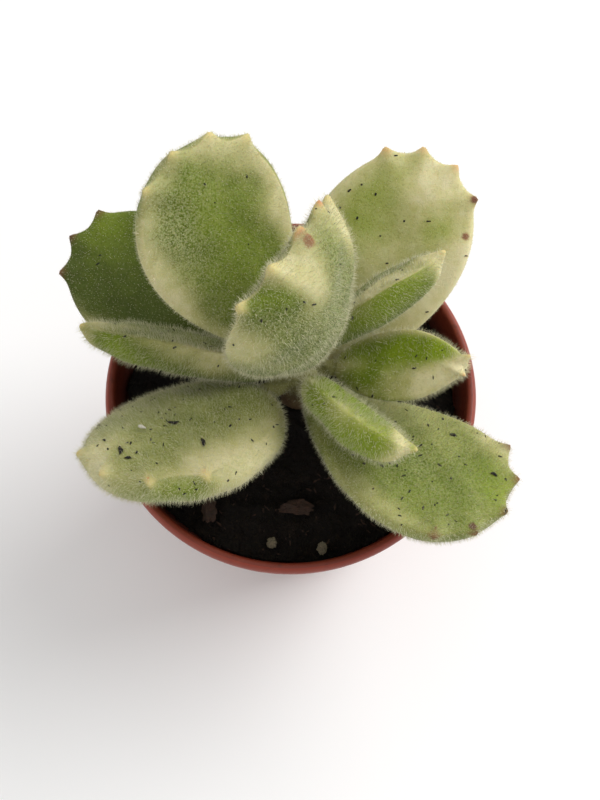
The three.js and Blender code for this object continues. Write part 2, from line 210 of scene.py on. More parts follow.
# point narrows the tip and claw makes teeth longer than usual. margin is the width of the soft cream
# edge to the left, right and at the end, in mm, and how much cream; plain is the leaf's own (cream,
# fresh, down), each 0 to 1; dry is how dry its teeth are; hair how long its hairs are and dust how
# many specks lie on it. A wash is (face, column, row, spread, cream, fresh, down).
LEAVES = {
    "leaf_back_left": grown(
        BROAD, 3, 135, 52, 0, 4, 10,
        margin=(1.6, 2, 1.2, 0.5), plain=(0.02, 0.4, 0.2), dry=0.05, hair=0.5, dust=0.05,
        washes=(
            (TOP, "half left", "shoulder", "cloud", 0, -0.1, 0.45),
            (TOP, "middle", "waist", "cloud", 0, 0.3, -0.1),
            (TOP, "right", "waist", "band", 0.95, 0, 0.1),
            (TOP, "half right", "tip", "patch", 0.6, 0, 0.1),
            (BOTH, "left", "waist", "band", 0.8, 0, 0),
            (BOTH, "middle", "foot", "patch", 0.5, 0, 0))),
    "leaf_far_left": grown(
        BROAD, 0, 150, 10, -15, 3, 0, thick=5.5, width=21, length=38,
        margin=(1.5, 1.5, 1.5, 0.12), plain=(-0.15, 0, 0.02), dry=0.85, hair=0.3, dust=0.1,
        washes=(
            (BOTH, "half right", "tip", "cloud", 0, 0.4, 0),
            (BOTH, "left", "shoulder", "patch", 0.4, 0, 0.1))),
    "leaf_left_narrow": grown(
        NARROW, 2, 180, 15, 55, 1, -10, length=30,
        margin=(1.2, 1.2, 1.5, 0.3), plain=(0, 0.3, 0.15), dry=0.05, hair=0.85, dust=0.3,
        washes=(
            (TOP, "middle", "waist", "cloud", 0.3, 0, 0.45),
            (BOTH, "left", "low", "cloud", 0.7, 0, 0),
            (BOTH, "middle", "tip", "patch", 0.8, 0, 0),
            (BACK, "half left", "shoulder", "patch", -0.5, 0.45, -0.1),
            (BACK, "middle", "waist", "cloud", -0.3, 0.3, 0))),
    "leaf_front_left": grown(
        FAT, 1, 214, 15, 35, 4, -30, reach=6, length=30,
        margin=(1.5, 1.5, 1.5, 0.3), plain=(0.26, 0.4, 0.3), dry=0.08, hair=0.75, dust=0.6,
        washes=(
            (BOTH, "middle", "tip", "patch", 0.7, 0, 0),
            # painted light: a pale wash that lightens the top face where it turns away from the lamps
            (TOP, "half right", "waist", "cloud", 0.2, 0.15, 0.1),
            (TOP, "left", "waist", "band", 0.8, 0, -0.1),
            (BACK, "left", "low", "cloud", 0.8, 0, 0),
            (BOTH, "left", "shoulder", "patch", -0.3, 0.25, -0.1),
            (BACK, "half left", "waist", "cloud", 0, 0, 0.3))),
    "leaf_top": grown(
        FAT, 5, -45, 75, 10, 5, -15, length=28, width=23, thick=10, widen=0.35, cup=2.5, wrap=110,
        curl=25, step=22, reach=0, claw=1.35,
        margin=(1.5, 1.5, 2, 0.4), plain=(0.08, 0.26, 0.3), dry=0, hair=0.8, dust=0.15,
        washes=(
            (BACK, "left", "shoulder", "patch", 0.85, 0, 0),
            (BACK, "middle", "tip", "patch", 0.9, 0, -0.2),
            (BACK, "half right", "tip", "spot", -0.6, 0.3, -0.3),
            (BOTH, "right", "shoulder", "patch", 0.6, 0, 0),
            (BACK, "middle", "shoulder", "cloud", 0, 0, 0.3),
            (TOP, "right", "waist", "band", 0.6, 0, 0))),
    "leaf_right_narrow": grown(
        NARROW, 4, 20, 30, -55, 1, 0, length=22, curl=5, reach=4,
        margin=(1.2, 1.2, 1.5, 0.35), plain=(0, 0.42, 0.12), dry=0, hair=0.7, dust=0.3,
        washes=(
            (BOTH, "middle", "tip", "patch", 0.95, 0, 0),
            (TOP, "half right", "waist", "cloud", 0.9, 0, 0),
            (BACK, "right", "shoulder", "cloud", -0.2, 0.45, 0),
            (BACK, "right", "low", "cloud", 0, 0.25, 0))),
    "leaf_back_right": grown(
        BROAD, 1, 50, 25, 10, 4, -5, widen=0.15,
        margin=(1.5, 3, 1.5, 0.5), plain=(0.66, 0.65, 0.1), dry=0.3, hair=0.28, dust=0.2,
        washes=(
            (TOP, "half left", "shoulder", "cloud", -0.25, 0.25, 0),
            (TOP, "half left", "waist", "patch", -0.2, 0.2, 0),
            (TOP, "middle", "tip", "patch", 0.5, 0, 0),
            (TOP, "half right", "shoulder", "patch", -0.3, 0.4, 0),
            (BOTH, "right", "waist", "band", 0.7, 0, 0),
            (TOP, "middle", "low", "cloud", 0, -0.1, 0.25))),
    "leaf_right_small": grown(
        YOUNG, 2, -10, 25, 10, 2, 5, reach=6,
        margin=(1.2, 1.6, 1.5, 0.4), plain=(0, 0.8, 0), dry=0.15, hair=0.8, dust=0.4,
        washes=(
            (TOP, "half left", "shoulder", "cloud", -0.3, 0.45, -0.1),
            (BOTH, "half right", "shoulder", "cloud", 1.2, 0, -0.1),
            (BOTH, "middle", "tip", "patch", 0.9, 0, 0),
            (BOTH, "left", "waist", "band", 0.8, 0, 0.1),
            (BOTH, "middle", "foot", "patch", 0.6, 0, 0.1))),
    "leaf_front_small": grown(
        YOUNG, 3, -55, 25, -55, 1, -18, reach=5,
        margin=(1.2, 1.2, 1.2, 0.25), plain=(-0.1, 0.9, -0.05), dry=0, hair=0.9, dust=0.3,
        washes=(
            (BOTH, "middle", "tip", "patch", 0.9, 0, 0),
            (BOTH, "right", "waist", "patch", 0.4, 0, 0),
            (TOP, "half right", "waist", "cloud", 0.2, 0, 0.3),
            (BACK, "right", "shoulder", "patch", 0, 0.35, 0),
            (BOTH, "half right", "foot", "patch", 0.5, 0, 0.1))),
    "leaf_front_right": grown(
        BROAD, 0, -45, 12, -20, 5, -8, length=37, widen=0.5, cup=2, thick=8.5,
        margin=(2.5, 2.5, 1.5, 0.2), plain=(0.06, 0.45, 0.2), dry=0.85, hair=0.6, dust=0.5,
        washes=(
            (TOP, "middle", "waist", "cloud", 0, 0, 0.15),
            (TOP, "half left", "tip", "patch", -0.1, 0.4, -0.2),
            (BOTH, "right", "waist", "band", 0.3, 0, 0),
            (BOTH, "left", "shoulder", "patch", 0.5, 0, 0),
            (BOTH, "half left", "low", "cloud", 0.35, 0, 0.1))),
}
# Sore spots beside the teeth: leaf, face, tooth counted from the left from 0, share of the way out,
# radius in mm, age (0 is a fresh red-orange mark and 1 an old brown scar).
SORES = (
    ("leaf_top", BACK, 2, 0.8, 1, 0.75), ("leaf_top", BACK, 1, 0.95, 0.45, 0.4),
    ("leaf_top", TOP, 3, 1, 0.4, 0), ("leaf_far_left", TOP, 1, 1, 0.5, 1),
    ("leaf_far_left", TOP, 2, 1, 0.5, 1), ("leaf_back_right", TOP, 3, 0.95, 0.7, 0.9),
    ("leaf_back_right", TOP, 4, 0.95, 0.7, 0.8), ("leaf_front_right", TOP, 0, 1, 0.4, 0.9),
    ("leaf_front_right", TOP, 2, 1, 0.5, 1), ("leaf_front_right", TOP, 3, 0.9, 0.6, 1),
    ("leaf_front_right", TOP, 4, 0.9, 0.45, 0.9), ("leaf_front_left", TOP, 0, 0.95, 0.25, 0.2),
    ("leaf_front_left", TOP, 1, 0.95, 0.25, 0.2), ("leaf_right_small", TOP, 1, 1, 0.4, 0.6),
)
CRUMBS, LONGEST_CRUMB, CRUMB_SEED = 16, 1.7, 29  # the larger bits of soil that lie on the leaves
TOOTH_HALF_WIDTH = 0.085


# ---------------------------------------------------------------- node trees written as sums
class Value:
    """A node's output that can take part in Python arithmetic."""

    def __init__(self, maker, socket):
        self.maker, self.socket = maker, socket

    def _sum(self, operation, *values):
        return self.maker.add("ShaderNodeMath", {"operation": operation},
                              dict(enumerate(values)))

    def __add__(self, other): return self._sum("ADD", self, other)
    def __radd__(self, other): return self._sum("ADD", other, self)
    def __sub__(self, other): return self._sum("SUBTRACT", self, other)
    def __rsub__(self, other): return self._sum("SUBTRACT", other, self)
    def __mul__(self, other): return self._sum("MULTIPLY", self, other)
    def __rmul__(self, other): return self._sum("MULTIPLY", other, self)
    def __truediv__(self, other): return self._sum("DIVIDE", self, other)

    def between(self, low, high):
        """0 below low, 1 above high, smooth in the middle."""
        return self.maker.add(
            "ShaderNodeMapRange", {"interpolation_type": "SMOOTHSTEP"},
            {"Value": self, "From Min": low, "From Max": high})


class Maker:
    """Adds nodes to one tree."""

    def __init__(self, tree):
        self.tree = tree
        tree.nodes.clear()

    def add(self, kind, settings=None, sockets=None, out=0):
        """A node: its settings are made first, then its sockets' values or links."""
        node = self.tree.nodes.new(kind)
        for name, value in (settings or {}).items():
            setattr(node, name, value)
        for name, value in (sockets or {}).items():
            if isinstance(value, Value):
                self.tree.links.new(value.socket, node.inputs[name])
            else:
                node.inputs[name].default_value = value
        return Value(self, node.outputs[out]) if len(node.outputs) else node

    def mix(self, low, high, share):
        """A colour between two colours."""
        low, high = [v if isinstance(v, Value) else (*v[:3], 1) for v in (low, high)]
        return self.add("ShaderNodeMix", {"data_type": "RGBA"}, {0: share, 6: low, 7: high}, 2)

    def place(self):
        return self.add("ShaderNodeTexCoord", out=3)

    def grain(self, per_metre, detail=3, rough=0.55, at=None):
        """Soft noise from 0 to 1, about 0.5 on average."""
        return self.add("ShaderNodeTexNoise", {}, {
            "Vector": at or self.place(), "Scale": per_metre, "Detail": detail,
            "Roughness": rough})

    def attribute(self, name):
        return self.add("ShaderNodeAttribute", {"attribute_name": name}, out=2)


def finish_material(material, maker, base, rough, height, bump, metres, **fixed):
    """Ends a material in one Principled shader with a bump; fixed are constant sockets."""
    normal = maker.add("ShaderNodeBump", {}, {
        "Height": height, "Strength": bump, "Distance": metres})
    shader = maker.add("ShaderNodeBsdfPrincipled", {}, {
        "Base Color": base, "Roughness": rough, "Normal": normal,
        **{name.replace("_", " "): value for name, value in fixed.items()}})
    maker.add("ShaderNodeOutputMaterial", {}, {"Surface": shader})
    return material


def new_material(name):
    material = bpy.data.materials.new(name)
    material.use_nodes = True
    return material, Maker(material.node_tree)


def plastic_material(pot, soil_top):
    material, m = new_material("nursery_pot_plastic")
    where = m.add("ShaderNodeSeparateXYZ", {}, {0: m.place()}, 2)
    cloud, fine = m.grain(70), m.grain(900, 5)
    scuff = m.grain(260, 6, 0.7).between(0.56, 0.7)
    base = m.mix(pot.plastic, pot.faded, cloud.between(0.35, 0.75) * 0.55 + scuff * 0.3)
    low = 1 - (where + cloud * 0.003 - soil_top).between(0, 0.006)
    splash = m.grain(500, 5).between(0.6, 0.7)
    foot = 1 - (where + cloud * 0.006).between(0.002, 0.008)
    # The inside of the pot carries painted shade all over, and it is darker still towards the soil
    # line. Splashes of dirt lie inside and out, and the wall is darker towards the foot.
    grime_and_shade = m.attribute("inside") * (0.3 + low * 0.45 + splash * 0.2) + splash * 0.1 + foot * 0.12
    base = m.mix(base, pot.grime_and_shade, grime_and_shade)
    return finish_material(material, m, base, 0.36 + fine * 0.22 + grime_and_shade * 0.2,
                           fine * 0.6 + cloud, 0.35, 0.0004, Specular_IOR_Level=0.45)


def soil_material(soil):
    material, m = new_material("potting_soil")
    lump, fine = m.grain(420, 6, 0.7), m.grain(2600, 4, 0.7)
    base = m.mix(soil.dark, soil.light, (lump * 0.6 + fine * 0.6).between(0.55, 0.95))
    return finish_material(material, m, base, 0.75 + fine * 0.2, lump + fine * 0.5, 1.0,
                           0.001, Specular_IOR_Level=0.3)


def litter_material(name, tone, shade, streak):
    """Bark chips, fibres and mineral grains: a tone with darker streaks or pits."""
    material, m = new_material(name)
    pits = m.grain(1500 * streak, 5, 0.7)
    wide = m.grain(380)
    base = m.mix(shade, tone, (pits * 0.7 + wide * 0.5).between(0.4, 0.8))
    return finish_material(material, m, base, 0.7 + pits * 0.2, pits, 0.8, 0.0003)


def stem_material(stem):
    material, m = new_material("stem_skin")
    height = m.add("ShaderNodeSeparateXYZ", {}, {0: m.place()}, 2)
    wide, fine = m.grain(260), m.grain(2200, 4)
    young = (height + wide * 0.008).between(0.05, 0.062)
    base = m.mix(stem.woody, stem.skin, young)
    base = m.mix(base, paint(78, 60, 40), fine.between(0.55, 0.75) * 0.5)
    return finish_material(material, m, base, 0.6 + fine * 0.3, fine + wide, 0.7, 0.0004)


def leaf_material(leaf):
    material, m = new_material("leaf_flesh")
    patch, mottle, fine = m.grain(150, 2), m.grain(560, 4, 0.6), m.grain(3300, 4, 0.7)
    cream_here, fresh, down = m.attribute("cream"), m.attribute("fresh"), m.attribute("down")
    tooth, sore, age = m.attribute("tooth"), m.attribute("sore"), m.attribute("age")
    green = m.mix(leaf.deep, leaf.bright,
                  (fresh + (patch - 0.5) * 0.35 + (mottle - 0.5) * 0.35).between(-0.15, 1.1))
    cream = m.mix(leaf.cream, leaf.pale, (mottle + cream_here * 0.5).between(0.55, 1.3))
    share = (cream_here + (patch - 0.5) * 0.25 + (mottle - 0.5) * 0.2).between(-0.05, 1.0)
    base = m.mix(green, cream, share)
    downy = (down + 0.08) * (fine.between(0.4, 0.6) * 1.25)
    base = m.mix(base, leaf.down, downy.between(-0.1, 1.1) * 0.9)
    pores = (1 - fine).between(0.5, 0.66) * (1 - cream_here * 0.6)
    base = m.mix(base, leaf.deep, pores * 0.4)
    old = (age + (mottle - 0.5) * 0.4).between(0.35, 1)
    tip = m.mix(m.mix(leaf.tip, leaf.ripe, age.between(0, 0.5)), leaf.dried, old)
    base = m.mix(base, tip, tooth.between(0.35, 0.95) * 0.8)
    spot = (sore + (mottle - 0.5) * 0.9 + (fine - 0.5) * 0.5).between(0.3, 0.75)
    mark = m.mix(m.mix(paint(184, 84, 50), leaf.ripe, mottle.between(0.4, 0.6)), leaf.dried, old)
    base = m.mix(base, mark, spot * (0.5 + age.between(0.2, 0.8) * 0.35))
    return finish_material(
        material, m, base, 0.55 + fine * 0.3, fine * 0.7 + mottle * 0.8, 0.35, 0.0003,
        Specular_IOR_Level=0.2, Sheen_Weight=0.1, Sheen_Roughness=0.5,
        Subsurface_Weight=0.1, Subsurface_Scale=0.002)


def fur_material(fur):
    material, m = new_material("white_leaf_hair")
    shade = m.grain(900, 2)
    base = m.mix(tuple(0.72 * c for c in fur.white), fur.white, shade.between(0.35, 0.65))
    return finish_material(material, m, base, 0.5 + shade * 0.2, shade, 0.1, 0.0001,
                           Specular_IOR_Level=0.25)


# ---------------------------------------------------------------- meshes
def link_mesh(name, mesh, materials):
    piece = bpy.data.objects.new(name, mesh)
    bpy.context.scene.collection.objects.link(piece)
    for material in materials:
        piece.data.materials.append(material)
    return piece


def heal(mesh):
    """Merges doubled points and turns the faces outwards."""
    work = bmesh.new()
    work.from_mesh(mesh)
    bmesh.ops.remove_doubles(work, verts=work.verts, dist=1e-7)
    bmesh.ops.recalc_face_normals(work, faces=work.faces)
    work.to_mesh(mesh)
    work.free()


def store(mesh, key, values):
    """Keeps a number for each point, for the material or for what grows on the surface."""
    mesh.attributes.new(key, "FLOAT", "POINT").data.foreach_set(
        "value", np.asarray(values, np.float32))


def mesh_of(name, points, faces, materials, smooth=True):
    """A piece from points in millimetres, with doubles merged and faces turned outwards."""
    mesh = bpy.data.meshes.new(name)
    mesh.from_pydata([tuple(p) for p in np.asarray(points) * MM], [], faces)
    heal(mesh)
    mesh.polygons.foreach_set("use_smooth", [smooth] * len(mesh.polygons))
    return link_mesh(name, mesh, materials)


def evaluated_mesh(piece):
    """The piece's mesh as its modifiers leave it; the modifiers are then removed."""
    bpy.context.view_layer.update()
    graph = bpy.context.evaluated_depsgraph_get()
    made = bpy.data.meshes.new_from_object(
        piece.evaluated_get(graph), preserve_all_data_layers=True, depsgraph=graph)
    piece.modifiers.clear()
    return made


def grow_on(host, name, tree, inputs, materials):
    """A new piece that a geometry tree makes on the host's surface."""
    piece = link_mesh(name, host.data.copy(), [])
    modifier = piece.modifiers.new("grow", "NODES")
    modifier.node_group = tree
    sockets = {s.name: s.identifier for s in tree.interface.items_tree
               if s.item_type == "SOCKET" and s.in_out == "INPUT"}
    for key, value in inputs.items():
        modifier[sockets[key]] = value
    made = evaluated_mesh(piece)
    if not made.polygons:
        raise RuntimeError(name + " grew nothing")
    piece.data = made
    made.name = name
    made.materials.clear()
    for material in materials:
        made.materials.append(material)
    return piece


def settle(piece, slot, *nodes):
    """Hangs a piece on the frame's root body and hides the solids that it stands for; the slot is not
    used.
    """
    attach(piece, "root")
    if nodes:
        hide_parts(*nodes)
    return piece


def waves(points, size, seed, count=9):
    """Smooth repeatable noise about -1 to 1 at points in millimetres."""
    chance = np.random.default_rng(seed)
    total = np.zeros(len(points))
    for _ in range(count):
        way = chance.normal(size=3)
        way *= chance.uniform(0.6, 1.6) / np.linalg.norm(way) * 2 * math.pi / size
        total += np.sin(points @ way + chance.uniform(0, 2 * math.pi))
    return total / math.sqrt(count / 2) / 1.6


def ease(x):
    x = np.clip(x, 0, 1)
    return x * x * (3 - 2 * x)


# ---- leaves
def blade(leaf, round_, out, side, tooth_height):
    """Points of the flat blade: across, along and up, in millimetres."""
    size, width, k = leaf["length"], leaf["width"], leaf["widen"]
    c = (math.sqrt(1 + 8 * k * k) - 1) / (4 * k) if abs(k) > 1e-6 else 0.0
    widest = math.sqrt(1 - c * c) * (1 + k * c)
    narrow = 1 - leaf.get("point", 0) * np.clip(np.cos(round_), 0, 1) ** 2
    edge_x = width / 2 / widest * np.sin(round_) * (1 + k * np.cos(round_)) * narrow
    edge_y = size / 2 * (1 + np.cos(round_))
    spine_y = size / 2 * (1 + 0.72 * np.cos(round_))
    wrap = math.radians(leaf["wrap"])
    reach = np.where(side > 0, out, np.sin(out * wrap) / math.sin(wrap))
    x, y = edge_x * reach, spine_y + (edge_y - spine_y) * reach
    along = np.stack([np.sin(round_) * size, np.cos(round_) * width])
    along /= np.linalg.norm(along, axis=0)
    tooth, rib = np.zeros_like(x), np.zeros_like(x)
    for place in leaf["teeth"]:
        off = np.angle(np.exp(1j * (round_ - place))) / TOOTH_HALF_WIDTH
        claw = np.exp(-(np.sqrt(off * off + 0.06) - 0.245) / 0.95) * leaf.get("claw", 1)
        tooth = np.maximum(tooth, claw * out ** 6)
        rib = np.maximum(rib, np.exp(-(off / 1.5) ** 2) * out ** 3 * (1 - out ** 8))
    x, y = x + tooth_height * tooth * along[0], y + tooth_height * tooth * along[1]
    place = np.clip((spine_y / size - 0.45) / 0.5, -1, 1)
    thick = leaf["thick"] * (1 - 0.3 * place ** 2)
    arc = (np.cos(out * wrap) - math.cos(wrap)) / (1 - math.cos(wrap))
    z = np.where(side > 0, 0.28 * thick * (1 - out * out), -0.72 * thick * arc)
    z = z + leaf["cup"] * (2 * x / width) ** 2 + 0.45 * rib * np.where(side > 0, 1, -0.6)
    inward = (1 - out) * np.hypot(edge_x, edge_y - spine_y)
    return x, y, z, tooth, inward


def bend(leaf, x, y, z):
    """Blade points bent along the leaf's arc and set where the leaf grows."""
    heading, rise, roll, curl = (math.radians(leaf[w]) for w in ("heading", "rise", "roll", "curl"))
    along = np.array([math.cos(heading) * math.cos(rise), math.sin(heading) * math.cos(rise),
                      math.sin(rise)])
    flat_up = np.array([-math.cos(heading) * math.sin(rise),
                        -math.sin(heading) * math.sin(rise), math.cos(rise)])
    flat_side = np.cross(along, flat_up)
    up = flat_up * math.cos(roll) + flat_side * math.sin(roll)
    side = flat_side * math.cos(roll) - flat_up * math.sin(roll)
    turn, arc = curl * y / leaf["length"], leaf["length"] / curl
    return (np.array(leaf["base"])
            + ((arc - z) * np.sin(turn))[:, None] * along
            + (arc * (1 - np.cos(turn)) + z * np.cos(turn))[:, None] * up
            + x[:, None] * side)


def colour_plan(leaf, x, y, round_, side, inward, seed):
    """How much cream, fresh green and grey down lies at each point, from the leaf's washes."""
    across, along = 2 * x / leaf["width"], y / leaf["length"]
    flat = np.stack([x, y, side * 6.0], 1)
    drift = waves(flat, 9, seed, 7) * 0.06, waves(flat, 9, seed + 1, 7) * 0.04
    plan = [np.full(len(x), float(amount)) for amount in leaf["plain"]]
    for face, column, row, spread, *amounts in leaf["washes"]:
        (a, b), (wide, long_) = (COLUMNS[column], ROWS[row]), SPREADS[spread]
        here = np.exp(-((across + drift[0] - a) / wide) ** 2 - ((along + drift[1] - b) / long_) ** 2)
        here = here * (1 if face == BOTH else side == face)
        for values, amount in zip(plan, amounts):
            values += here * amount
    left, right, end, amount = leaf["margin"]
    width = left + (right - left) * ease((np.sin(round_) + 0.35) / 0.7)
    width = np.maximum(width, end * np.exp(-(round_ / 0.75) ** 2))
    edge = np.exp(-(inward / np.maximum(width * (1 + 0.3 * waves(flat, 6, seed + 2)), 0.3)) ** 2)
    plan[0] += edge * amount * (1 - np.clip(plan[0], 0, 1)) + 0.04 * waves(flat, 4, seed + 3)
    return [np.clip(values, -0.3, 1.2) for values in plan]


def make_leaf(name, leaf, settings, material):
    """One fleshy leaf with its colour plan stored on its points."""
    steps = 200
    angles = np.arange(steps) * 2 * math.pi / steps
    outs = np.array([0, .1, .2, .3, .4, .5, .59, .67, .74, .8, .85, .89, .92, .95, .975])
    rings = [(o, 1) for o in outs] + [(1.0, 1)] + [(o, -1) for o in outs[::-1]]
    round_ = np.tile(angles, len(rings))
    out = np.repeat([o for o, _ in rings], steps)
    side = np.repeat([s for _, s in rings], steps)
    round_signed = np.where(round_ > math.pi, round_ - 2 * math.pi, round_)
    x, y, z, tooth, inward = blade(leaf, round_signed, out, side, settings.tooth_height / MM)
    edge_z = leaf["cup"] * (2 * x / leaf["width"]) ** 2
    z = np.where(out == 1, edge_z, z)
    seed = sum(map(ord, name))
    flesh = waves(np.stack([x, y, side * 4.0], 1), 9, seed) * 0.28 * (1 - out ** 4)
    z = z + flesh * np.where(side > 0, 0.8, 1.0)
    points = bend(leaf, x, y, z).reshape(len(rings), steps, 3)
    edge = np.array([(o > 0.8) * (o - 0.8) / 0.2 for o, _ in rings])[1:-1, None, None]
    for _ in range(int(150 / leaf["width"])):  # rounds the edge where the two faces meet
        between = (points[:-2] + points[2:]) / 2
        points[1:-1] += (between - points[1:-1]) * 0.5 * edge
    points = points.reshape(-1, 3)
    faces = []
    for r in range(len(rings) - 1):
        for i in range(steps):
            a, b = r * steps + i, r * steps + (i + 1) % steps
            faces.append((a, b, b + steps, a + steps))
    mesh = bpy.data.meshes.new(name)
    mesh.from_pydata([tuple(p) for p in points * MM], [], faces)
    sore, age = np.zeros(len(points)), np.full(len(points), float(leaf["dry"]))
    for owner, face, beside, share, radius, years in SORES:
        if owner == name:
            where = leaf["teeth"][0] + math.radians(leaf["step"] * beside)
            middle = blade(leaf, np.array([where]), np.array([share]), np.array([face]),
                           settings.tooth_height / MM)[:3]
            far = np.linalg.norm(points - bend(leaf, *middle)[0], axis=1) / radius
            mark = np.exp(-(far / 1.1) ** 2)
            sore, age = np.maximum(sore, mark), age + (years - age) * np.exp(-(far / 2) ** 4)
    cream, fresh, down = colour_plan(leaf, x, y, round_signed, side, inward, seed)
    plan = {
        "cream": cream, "fresh": fresh, "down": down, "tooth": tooth, "sore": sore, "age": age,
        "fur": (0.6 + 0.4 * out ** 2) * min(1, leaf["hair"] + 0.35),
    }
    for key, values in plan.items():
        store(mesh, key, values)
    heal(mesh)
    mesh.polygons.foreach_set("use_smooth", [True] * len(mesh.polygons))
    return link_mesh(name.replace("leaf_", "fleshy_leaf_"), mesh, [material])


# ---- things that grow or lie on a surface
def new_tree(name, sockets):
    """A geometry tree with named inputs, its maker, and the inputs as values."""
    tree = bpy.data.node_groups.new(name, "GeometryNodeTree")
    tree.interface.new_socket("Geometry", in_out="OUTPUT", socket_type="NodeSocketGeometry")
    tree.interface.new_socket("Geometry", in_out="INPUT", socket_type="NodeSocketGeometry")
    for title, kind in sockets.items():
        tree.interface.new_socket(title, in_out="INPUT", socket_type="NodeSocket" + kind)
    maker = Maker(tree)
    start = tree.nodes.new("NodeGroupInput")
    return tree, maker, {s.name: Value(maker, s) for s in start.outputs if s.name}


def random_vector(maker, low, high, seed):
    """A different vector for each point, between two corners."""
    return maker.add("FunctionNodeRandomValue", {"data_type": "FLOAT_VECTOR"},
                     {0: low, 1: high, "Seed": seed})


def end_tree(maker, instances, material):
    """Makes the instances real, gives them their material and ends the tree."""
    real = maker.add("GeometryNodeRealizeInstances", {}, {"Geometry": instances})
    dressed = maker.add("GeometryNodeSetMaterial", {}, {"Geometry": real, "Material": material})
    maker.add("NodeGroupOutput", {}, {"Geometry": dressed})


def fur_tree():
    """Curved three-sided hairs that stand on a surface and lean the way that the leaf grows."""
    tree, m, given = new_tree("leaf_fur", {
        "Length": "Float", "Thickness": "Float", "Density": "Float", "Comb": "Vector",
        "Stray": "Float", "Seed": "Int", "Material": "Material"})
    cone = m.add("GeometryNodeMeshCone", {"fill_type": "NGON"}, {
        "Vertices": 3, "Side Segments": 2, "Radius Top": 0.0,
        "Radius Bottom": given["Thickness"] * 0.5, "Depth": given["Length"]})
    height = m.add("ShaderNodeSeparateXYZ", {}, {
        0: m.add("GeometryNodeInputPosition")}, 2) / given["Length"]
    sway = m.add("ShaderNodeCombineXYZ", {}, {0: height * height * given["Length"] * 0.25})
    hair = m.add("GeometryNodeSetPosition", {}, {"Geometry": cone, "Offset": sway})
    thickly = m.add("GeometryNodeInputNamedAttribute", {"data_type": "FLOAT"}, {"Name": "fur"})
    points = m.tree.nodes.new("GeometryNodeDistributePointsOnFaces")
    m.tree.links.new(given["Geometry"].socket, points.inputs["Mesh"])
    m.tree.links.new((thickly * given["Density"]).socket, points.inputs["Density"])
    m.tree.links.new(given["Seed"].socket, points.inputs["Seed"])
    stray = m.add("ShaderNodeVectorMath", {"operation": "SCALE"}, {
        0: random_vector(m, (-1, -1, -1), (1, 1, 1), given["Seed"] + 1),
        "Scale": given["Stray"]})
    way = m.add("ShaderNodeVectorMath", {"operation": "ADD"}, {
        0: m.add("ShaderNodeVectorMath", {"operation": "ADD"}, {
            0: Value(m, points.outputs["Normal"]), 1: given["Comb"]}), 1: stray})
    stand = m.add("FunctionNodeAlignRotationToVector", {"axis": "Z"}, {"Vector": way})
    spun = m.add("ShaderNodeCombineXYZ", {}, {2: m.add(
        "FunctionNodeRandomValue", {"data_type": "FLOAT"},
        {2: 0.0, 3: 6.28, "Seed": given["Seed"] + 3}, 1)})
    turn = m.add("FunctionNodeRotateRotation", {"rotation_space": "LOCAL"}, {
        "Rotation": stand, "Rotate By": m.add("FunctionNodeEulerToRotation", {}, {
            "Euler": spun})})
    size = m.add("FunctionNodeRandomValue", {"data_type": "FLOAT"},
                 {2: 0.4, 3: 1.15, "Seed": given["Seed"] + 2}, 1)
    stood = m.add("GeometryNodeInstanceOnPoints", {}, {
        "Points": Value(m, points.outputs["Points"]), "Instance": hair, "Rotation": turn,
        "Scale": m.add("ShaderNodeCombineXYZ", {}, {0: 1.0, 1: 1.0, 2: size})})
    end_tree(m, stood, given["Material"])
    return tree


def scatter_tree():
    """Small crumbs, longer one way, lying on a surface at random."""
    tree, m, given = new_tree("scattered_crumbs", {
        "Density": "Float", "Size": "Float", "Smallest": "Vector", "Largest": "Vector",
        "Sink": "Float", "Seed": "Int", "Material": "Material"})
    ball = m.add("GeometryNodeMeshIcoSphere", {}, {"Radius": 0.5, "Subdivisions": 1})
    spot = m.add("GeometryNodeInputPosition")
    dent = m.add("ShaderNodeTexNoise", {}, {"Vector": spot, "Scale": 2.3}, 1)
    dented = m.add("ShaderNodeVectorMath", {"operation": "MULTIPLY_ADD"}, {
        0: dent, 1: (0.5, 0.5, 0.5), 2: (-0.25, -0.25, -0.25)})
    crumb = m.add("GeometryNodeSetPosition", {}, {"Geometry": ball, "Offset": dented})
    points = m.tree.nodes.new("GeometryNodeDistributePointsOnFaces")
    keep = m.add("GeometryNodeInputNamedAttribute", {"data_type": "FLOAT"}, {"Name": "dust"})
    for name, value in {"Mesh": given["Geometry"], "Density": keep * given["Density"],
                        "Seed": given["Seed"]}.items():
        m.tree.links.new(value.socket, points.inputs[name])
    turn = m.add("FunctionNodeRotateRotation", {"rotation_space": "LOCAL"}, {
        "Rotation": Value(m, points.outputs["Rotation"]),
        "Rotate By": m.add("FunctionNodeEulerToRotation", {}, {
            "Euler": random_vector(m, (-0.4, -0.4, -3.14), (0.4, 0.4, 3.14),
                                   given["Seed"] + 1)})})
    shape = m.add("ShaderNodeVectorMath", {"operation": "SCALE"}, {
        0: random_vector(m, given["Smallest"], given["Largest"], given["Seed"] + 2),
        "Scale": given["Size"]})
    laid = m.add("GeometryNodeInstanceOnPoints", {}, {
        "Points": Value(m, points.outputs["Points"]), "Instance": crumb, "Rotation": turn,
        "Scale": shape})
    sunk = m.add("GeometryNodeTranslateInstances", {}, {
        "Instances": laid, "Translation": m.add("ShaderNodeCombineXYZ", {}, {
            2: given["Sink"]})})
    end_tree(m, sunk, given["Material"])
    return tree


# ---- pot, soil, litter and stem
def spin(profile, steps):
    """Points and faces of a round piece from a profile that starts and ends on the axis."""
    turn = np.arange(steps) * 2 * math.pi / steps
    points, faces = [], []
    for r, z in profile:
        points += [(r * math.cos(t), r * math.sin(t), z) for t in turn]
    for k in range(len(profile) - 1):
        for i in range(steps):
            a, b = k * steps + i, k * steps + (i + 1) % steps
            faces.append((a, b, b + steps, a + steps))
    return np.array(points), faces


